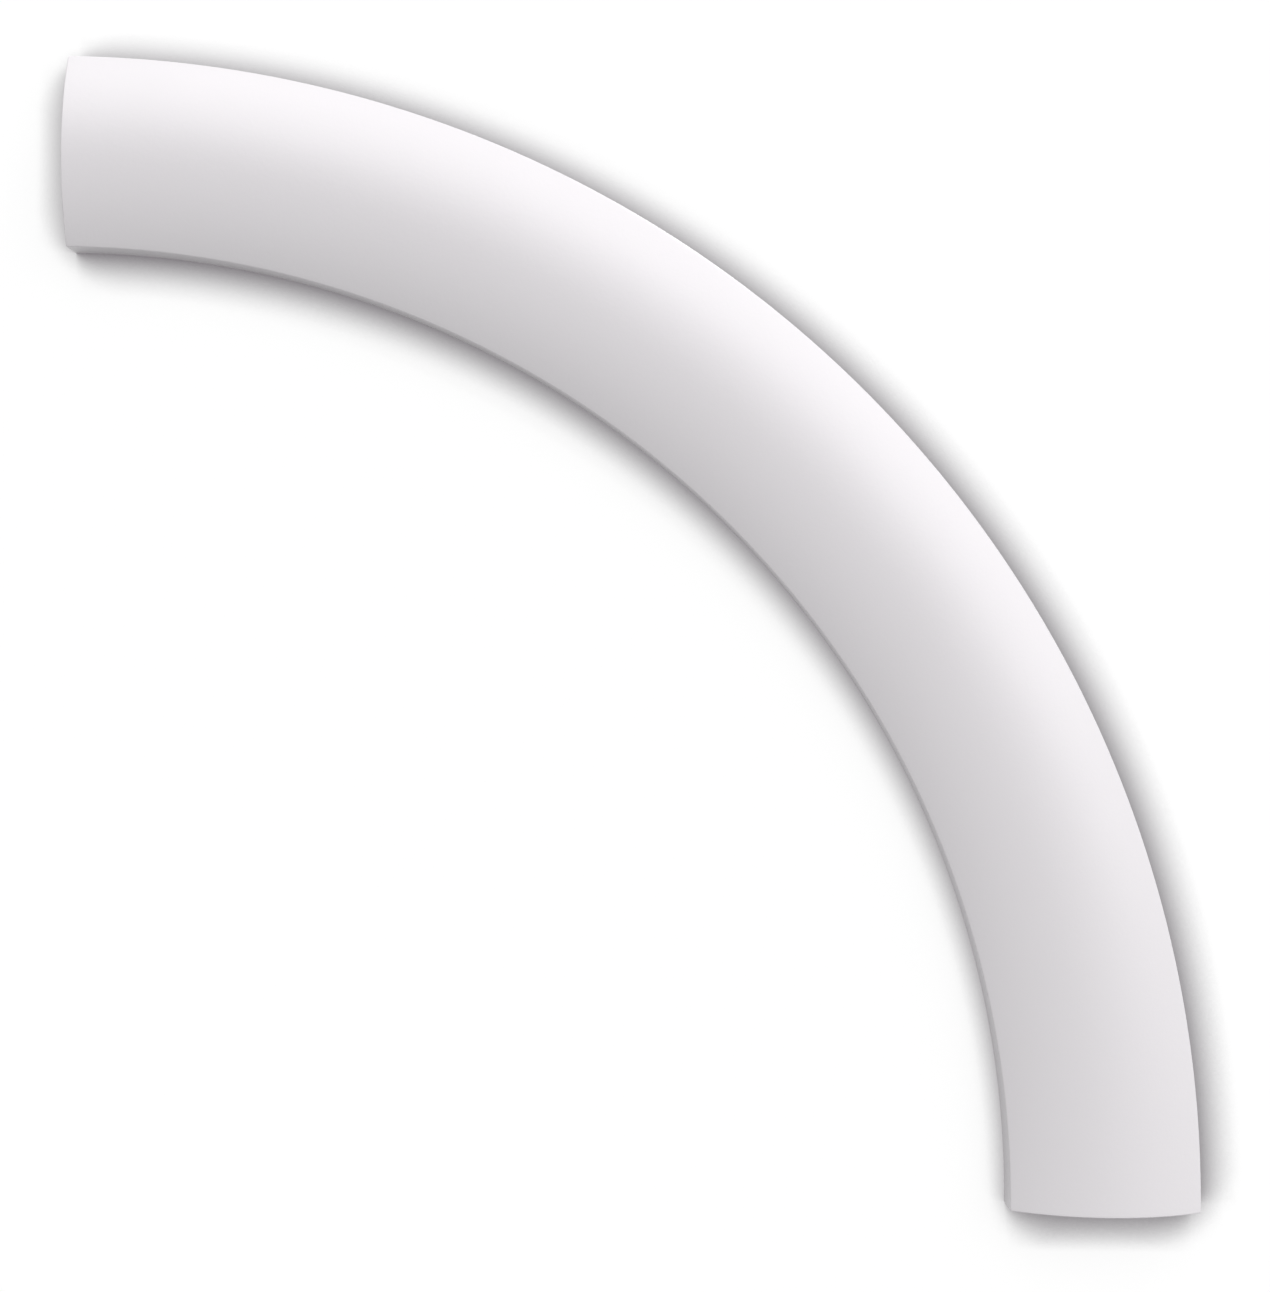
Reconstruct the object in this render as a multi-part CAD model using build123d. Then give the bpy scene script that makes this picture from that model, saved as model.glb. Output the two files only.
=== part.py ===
from build123d import *
import os

# Corner piece of a plain panel moulding, cast in one piece from rigid foam.
# A low crowned section turns through a quarter circle. The flat back is glued to the
# wall, and the square ends butt against straight lengths of the same section.
# Millimetres: the back lies on z = 0, and the crowned face looks up.

# Driving dimensions
face_width = 50.0      # across the moulding, from its inner side to its outer side
inner_radius = 250.0   # of the inner side, about the centre of the curve
turn_angle = 90.0      # how far the corner turns, in degrees
side_height = 9.0      # of the upright sides, from the back to the arris
crown_rise = 6.0       # of the face, from the arrises to the middle of its crown
arris_radius = 0.5     # rounding where each side meets the face


def moulding_section(inner, width, side, rise, arris):
    """The cross-section, standing on the XZ plane with its back on z = 0."""
    outer = inner + width
    inner_arris = (inner, side)
    outer_arris = (outer, side)
    crown = (inner + width / 2, side + rise)
    back_and_sides = Polyline(inner_arris, (inner, 0), (outer, 0), outer_arris)
    face = ThreePointArc(outer_arris, crown, inner_arris)
    section = make_face(back_and_sides + face)
    arris_corners = section.vertices().group_by(Axis.Y)[-1]
    return Plane.XZ * fillet(arris_corners, arris)


# The section turns about the centre of the curve, from one square end to the other
section = moulding_section(inner_radius, face_width, side_height, crown_rise, arris_radius)
moulding_corner = revolve(section, Axis.Z, turn_angle)

# The origin is the middle of the square of wall that the corner fills
footprint = moulding_corner.bounding_box().center()
moulding_corner = Pos(-footprint.X, -footprint.Y, 0) * moulding_corner

os.makedirs("parts", exist_ok=True)
export_step(moulding_corner, "parts/moulding_corner.step")
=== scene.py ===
from math import asin, cos, pi, radians, sin

import bmesh
import bpy
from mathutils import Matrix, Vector


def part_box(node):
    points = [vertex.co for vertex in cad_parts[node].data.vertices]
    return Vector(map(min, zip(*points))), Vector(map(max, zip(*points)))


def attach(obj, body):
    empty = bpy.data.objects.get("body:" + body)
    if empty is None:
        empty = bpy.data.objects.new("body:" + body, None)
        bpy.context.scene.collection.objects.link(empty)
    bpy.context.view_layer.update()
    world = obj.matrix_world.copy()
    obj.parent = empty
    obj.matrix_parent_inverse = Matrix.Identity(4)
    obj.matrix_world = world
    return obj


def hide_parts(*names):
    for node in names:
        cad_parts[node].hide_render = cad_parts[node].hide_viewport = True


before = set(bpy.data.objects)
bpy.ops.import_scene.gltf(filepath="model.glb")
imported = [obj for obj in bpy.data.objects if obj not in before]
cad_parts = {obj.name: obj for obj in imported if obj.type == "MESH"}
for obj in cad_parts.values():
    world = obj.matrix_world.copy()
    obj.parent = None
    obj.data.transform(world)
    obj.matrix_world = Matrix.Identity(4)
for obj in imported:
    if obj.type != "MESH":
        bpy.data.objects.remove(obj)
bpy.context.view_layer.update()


# Moulding corner
# A quarter circle of plain panel moulding, cast in one piece from rigid foam and sprayed
# with white primer. Its ends are sawn square to butt against straight lengths of the same
# section, and its flat back, also bare foam, is glued to the wall, so no fastener shows.

low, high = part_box("moulding_corner")
curve_centre = Vector((low.x, low.y))
outer_radius = high.x - low.x
thickness = high.z - low.z
face_width = 0.050
side_height = 0.009
face_steps = 48          # across the crowned face
turn_steps = 180         # round the quarter circle
eased_edge = 0.0003      # of every edge, measured along the faces that meet there
easing_steps = 3
round_profile = 0.5      # of the eased edges, in the bevel tool's own measure
sharp_angle = radians(40)
flatness = 0.00001       # how closely a bare face lies in its plane

primer_white = (0.805, 0.781, 0.805, 1)
primer_thin = (0.785, 0.760, 0.782, 1)     # where the coat is a little thinner
foam_white = (0.790, 0.765, 0.775, 1)
# painted shade: the darker colour at the bottom of each pore
pore_shade = (0.690, 0.660, 0.660, 1)


def moulding_section():
    """Radius and height of each point round the section, from the foot of the inner side."""
    inner_radius = outer_radius - face_width
    half_width = face_width / 2
    crown_rise = thickness - side_height
    crown_radius = (half_width**2 + crown_rise**2) / (2 * crown_rise)
    half_angle = asin(half_width / crown_radius)
    points = [(inner_radius, 0), (outer_radius, 0)]
    for step in range(face_steps + 1):
        lean = half_angle * (1 - 2 * step / face_steps)
        radius = inner_radius + half_width + crown_radius * sin(lean)
        height = thickness - crown_radius * (1 - cos(lean))
        points.append((radius, height))
    return points


def is_bare(face):
    """True for the two sawn ends and the back, which carry no primer."""
    # Each of them lies in one of the three planes through the low corner of the CAD box.
    return min(face.calc_center_median() - low) < flatness


def turned_mesh(name, section):
    """The section swept round a quarter circle, closed at both ends, with its edges eased."""
    shape = bmesh.new()
    rings = []
    for step in range(turn_steps + 1):
        turn = pi / 2 * step / turn_steps
        across = Vector((cos(turn), sin(turn)))
        rings.append([shape.verts.new((*(curve_centre + radius * across), low.z + height))
                      for radius, height in section])
    for ring, following in zip(rings, rings[1:]):
        for i in range(len(section)):
            shape.faces.new((ring[i], ring[i - 1], following[i - 1], following[i]))
    for end in (rings[0], rings[-1]):
        shape.faces.new(end)
    bmesh.ops.recalc_face_normals(shape, faces=shape.faces)
    sharp = [edge for edge in shape.edges if edge.calc_face_angle() > sharp_angle]
    bmesh.ops.bevel(shape, geom=sharp, affect="EDGES", offset=eased_edge,
                    segments=easing_steps, profile=round_profile)
    for face in shape.faces:
        face.smooth = True
        face.material_index = int(is_bare(face))
    mesh = bpy.data.meshes.new(name)
    shape.to_mesh(mesh)
    shape.free()
    return mesh


class Wire:
    """One socket in a node tree. Arithmetic on its value adds Math nodes."""

    def __init__(self, tree, socket=None):
        self.tree = tree
        self.socket = socket

    def node(self, kind, settings, inputs, output=0):
        """A new node: its settings first, then a value or a wire for each input."""
        made = self.tree.nodes.new(kind)
        for name, value in settings.items():
            setattr(made, name, value)
        for name, value in inputs.items():
            if isinstance(value, Wire):
                self.tree.links.new(value.socket, made.inputs[name])
            else:
                made.inputs[name].default_value = value
        return Wire(self.tree, made.outputs[output] if made.outputs else None)

    def math(self, operation, first, second):
        """One sum on two numbers or wires."""
        return self.node("ShaderNodeMath", {"operation": operation}, {0: first, 1: second})

    def mix(self, factor, start, end):
        """A colour between two others."""
        # The node's colour sockets share their names with others, so they go by number.
        factor_in, start_in, end_in, colour_out = 0, 6, 7, 2
        return self.node("ShaderNodeMix", {"data_type": "RGBA"},
                         {factor_in: factor, start_in: start, end_in: end}, output=colour_out)

    def __add__(self, other):
        return self.math("ADD", self, other)

    def __radd__(self, other):
        return self.math("ADD", other, self)

    def __sub__(self, other):
        return self.math("SUBTRACT", self, other)

    def __rsub__(self, other):
        return self.math("SUBTRACT", other, self)

    def __mul__(self, other):
        return self.math("MULTIPLY", self, other)

    def __rmul__(self, other):
        return self.math("MULTIPLY", other, self)

    def __pow__(self, other):
        return self.math("POWER", self, other)


def empty_tree(block):
    """A wire into the node tree of a material or world, with nothing in the tree yet."""
    block.use_nodes = True
    block.node_tree.nodes.clear()
    return Wire(block.node_tree)


def sprayed_primer():
    """White primer with a soft sheen: an even coat with a fine spray texture and faint clouds."""
    peel_size = 0.0009       # of the spray's orange peel
    peel_detail = 2          # finer layers of noise added to it
    grain_size = 0.0003      # of the dry pigment in it
    grain_detail = 1
    cloud_size = 0.045       # of thinner and thicker patches of the coat
    cloud_detail = 3
    peel_depth = 0.000020
    peel_share = 0.8         # of the relief, and the grain has the rest
    least_roughness = 0.29
    roughness_change = 0.06  # for each of the clouds and the relief
    sheen = 0.65             # specular level, a little over that of plain varnish
    material = bpy.data.materials.new("sprayed_primer")
    wire = empty_tree(material)
    place = wire.node("ShaderNodeTexCoord", {}, {}, output="Object")
    peel = wire.node("ShaderNodeTexNoise", {},
                     {"Vector": place, "Scale": 1 / peel_size, "Detail": peel_detail})
    grain = wire.node("ShaderNodeTexNoise", {},
                      {"Vector": place, "Scale": 1 / grain_size, "Detail": grain_detail})
    cloud = wire.node("ShaderNodeTexNoise", {},
                      {"Vector": place, "Scale": 1 / cloud_size, "Detail": cloud_detail})
    surface = peel_share * peel + (1 - peel_share) * grain
    bump = wire.node("ShaderNodeBump", {},
                     {"Strength": 1, "Distance": peel_depth, "Height": surface})
    shader = wire.node("ShaderNodeBsdfPrincipled", {}, {
        "Base Color": wire.mix(cloud, primer_white, primer_thin),
        "Roughness": least_roughness + roughness_change * (cloud + surface),
        "Specular IOR Level": sheen,
        "Normal": bump,
    })
    wire.node("ShaderNodeOutputMaterial", {}, {"Surface": shader})
    return material


def bare_foam():
    """Rigid foam with no primer on it: off-white, with fine open pores whose bottoms are painted
    darker as shade.
    """
    pore_spacing = 0.0007
    pore_depth = 0.00008
    pore_bottom = 0.1        # half width of its flat bottom, of the spacing
    pore_rim = 0.45          # and of its rim
    pore_roughness = 0.95
    wall_roughness = 0.9     # of the solid foam between the pores
    foam_sheen = 0.2         # specular level
    material = bpy.data.materials.new("bare_foam")
    wire = empty_tree(material)
    place = wire.node("ShaderNodeTexCoord", {}, {}, output="Object")
    spot = wire.node("ShaderNodeTexVoronoi", {}, {"Vector": place, "Scale": 1 / pore_spacing},
                     output="Distance")
    solid = wire.node("ShaderNodeMapRange", {"interpolation_type": "SMOOTHSTEP"},
                      {"Value": spot, "From Min": pore_bottom, "From Max": pore_rim})
    bump = wire.node("ShaderNodeBump", {},
                     {"Strength": 1, "Distance": pore_depth, "Height": solid})
    shader = wire.node("ShaderNodeBsdfPrincipled", {}, {
        # Painted shade: the colour darkens towards the bottom of each pore, following the bump.
        "Base Color": wire.mix(solid, pore_shade, foam_white),
        "Roughness": pore_roughness - (pore_roughness - wall_roughness) * solid,
        "Specular IOR Level": foam_sheen,
        "Normal": bump,
    })
    wire.node("ShaderNodeOutputMaterial", {}, {"Surface": shader})
    return material


moulding = bpy.data.objects.new("moulding", turned_mesh("moulding", moulding_section()))
bpy.context.scene.collection.objects.link(moulding)
moulding.modifiers.new("even_shading", "WEIGHTED_NORMAL")
moulding.data.materials.append(sprayed_primer())
moulding.data.materials.append(bare_foam())
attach(moulding, "root")
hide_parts("moulding_corner")


# Floor
# The plain studio floor that the piece lies on. To the camera it glows white, with a painted
# shadow:
# ambient occlusion aimed at a point high over the piece, where no lamp hangs, darkens it towards
# the foot of the piece.

floor_size = 4.0
floor_pale = (0.55, 0.55, 0.55, 1)
white = (1, 1, 1, 1)
painted_shadow_tint = (0.025, 0, 0.025, 1)      # of the deepest painted shade, a faint violet
painted_shadow_reach = 0.016                    # of the painted shadow, from the foot of the piece to open floor
painted_shadow_aim = (-0.15, 0.15, 0.60)      # the point the painted shadow leans towards; no lamp is there
painted_shadow_depth = 2.1                      # how steeply the painted shadow darkens the floor
open_gain = 1.34                        # so that floor with most of its light is white already
painted_shadow_rays = 16                        # cast from each point to find how open it is, for the painted shadow
lit_share = 0.2                         # of the floor's white, from the studio light below
lamp_level = 0.84                       # of that light on open floor, rounded down to keep it white


def seen_directly(wire):
    """1 for what the camera sees, by itself or in a reflection or through glass."""
    seen, reflected, through_glass = [
        wire.node("ShaderNodeLightPath", {}, {}, output=f"Is {ray} Ray")
        for ray in ("Camera", "Glossy", "Transmission")
    ]
    return seen + reflected + through_glass


def studio_floor():
    """White where it is seen, with a painted soft shadow from ambient occlusion, and plain grey in
    the light it sends back.
    """
    material = bpy.data.materials.new("studio_floor")
    wire = empty_tree(material)
    place = wire.node("ShaderNodeTexCoord", {}, {}, output="Object")
    offset = wire.node("ShaderNodeVectorMath", {"operation": "SUBTRACT"},
                       {0: painted_shadow_aim, 1: place})
    to_light = wire.node("ShaderNodeVectorMath", {"operation": "NORMALIZE"}, {0: offset})
    unoccluded = wire.node("ShaderNodeAmbientOcclusion", {"samples": painted_shadow_rays},
                         {"Distance": painted_shadow_reach, "Normal": to_light}, output="AO")
    # Painted shadow: the floor's openness round the piece, made steeper and clamped, darkens its
    # glow and its colour.
    painted_shade = wire.node("ShaderNodeClamp", {}, {"Value": open_gain * unoccluded**painted_shadow_depth})
    matt = {"Roughness": 1, "Specular IOR Level": 0}
    plain = wire.node("ShaderNodeBsdfPrincipled", {}, {"Base Color": floor_pale, **matt})
    seen = wire.node("ShaderNodeBsdfPrincipled", {}, {
        "Base Color": lit_share / lamp_level * painted_shade,
        "Emission Color": wire.mix(painted_shade, painted_shadow_tint, white),
        "Emission Strength": 1 - lit_share,
        **matt,
    })
    shader = wire.node("ShaderNodeMixShader", {}, {0: seen_directly(wire), 1: plain, 2: seen})
    wire.node("ShaderNodeOutputMaterial", {}, {"Surface": shader})
    return material


bpy.ops.mesh.primitive_plane_add(size=floor_size, location=(0, 0, low.z))
floor = bpy.context.object
floor.name = "floor"
floor.data.materials.append(studio_floor())


# Studio light
# A pale surround that fills every side, two broad lamps half-way up at the right and the top
# of the picture, whose sheen lies on the outer slope of the face, and a narrow lamp low
# between them. All are far enough off to fall evenly over the whole piece.

surround_level = 0.45
backdrop_level = 1       # the surround where the camera sees it, plain white


def studio_lamp(name, azimuth, elevation, width, level):
    """A distant soft lamp, its angles in degrees. Level 1 shows what faces it as its own colour."""
    lamp = bpy.data.objects.new(name, bpy.data.lights.new(name, "SUN"))
    bpy.context.scene.collection.objects.link(lamp)
    lamp.data.energy = pi * level
    lamp.data.angle = radians(width)
    turn, rise = radians(azimuth), radians(elevation)
    to_lamp = Vector((cos(rise) * cos(turn), cos(rise) * sin(turn), sin(rise)))
    lamp.rotation_euler = to_lamp.to_track_quat("Z", "Y").to_euler()


studio_lamp("right_lamp", azimuth=35, elevation=42, width=45, level=0.29)
studio_lamp("top_lamp", azimuth=95, elevation=42, width=45, level=0.32)
studio_lamp("low_lamp", azimuth=62, elevation=3, width=6, level=0.33)

surround = bpy.data.worlds.new("surround")
bpy.context.scene.world = surround
wire = empty_tree(surround)
fill = wire.node("ShaderNodeBackground", {}, {"Color": white, "Strength": surround_level})
backdrop = wire.node("ShaderNodeBackground", {}, {"Color": white, "Strength": backdrop_level})
light = wire.node("ShaderNodeMixShader", {}, {0: seen_directly(wire), 1: fill, 2: backdrop})
wire.node("ShaderNodeOutputWorld", {}, {"Surface": light})
bpy.context.scene.view_settings.view_transform = "Standard"


# Camera
# It looks straight down on the piece, as in the photograph, and is turned by a little over
# half a degree, because the piece lies slightly askew there.

picture_height = 1292     # pixels, the longer side of the photograph
focal_length = 2000       # pixels
sensor = 36.0             # millimetres, along the longer side
camera_turn = 0.61        # degrees
camera_place = (0.00015, -0.00302, 0.53290)
nearest_seen = 0.01       # metres from the lens

camera = bpy.data.objects.new("camera", bpy.data.cameras.new("camera"))
bpy.context.scene.collection.objects.link(camera)
camera.data.sensor_width = sensor
camera.data.lens = sensor * focal_length / picture_height
camera.data.clip_start = nearest_seen
camera.location = camera_place
camera.rotation_euler = (0, 0, radians(camera_turn))
bpy.context.scene.camera = camera
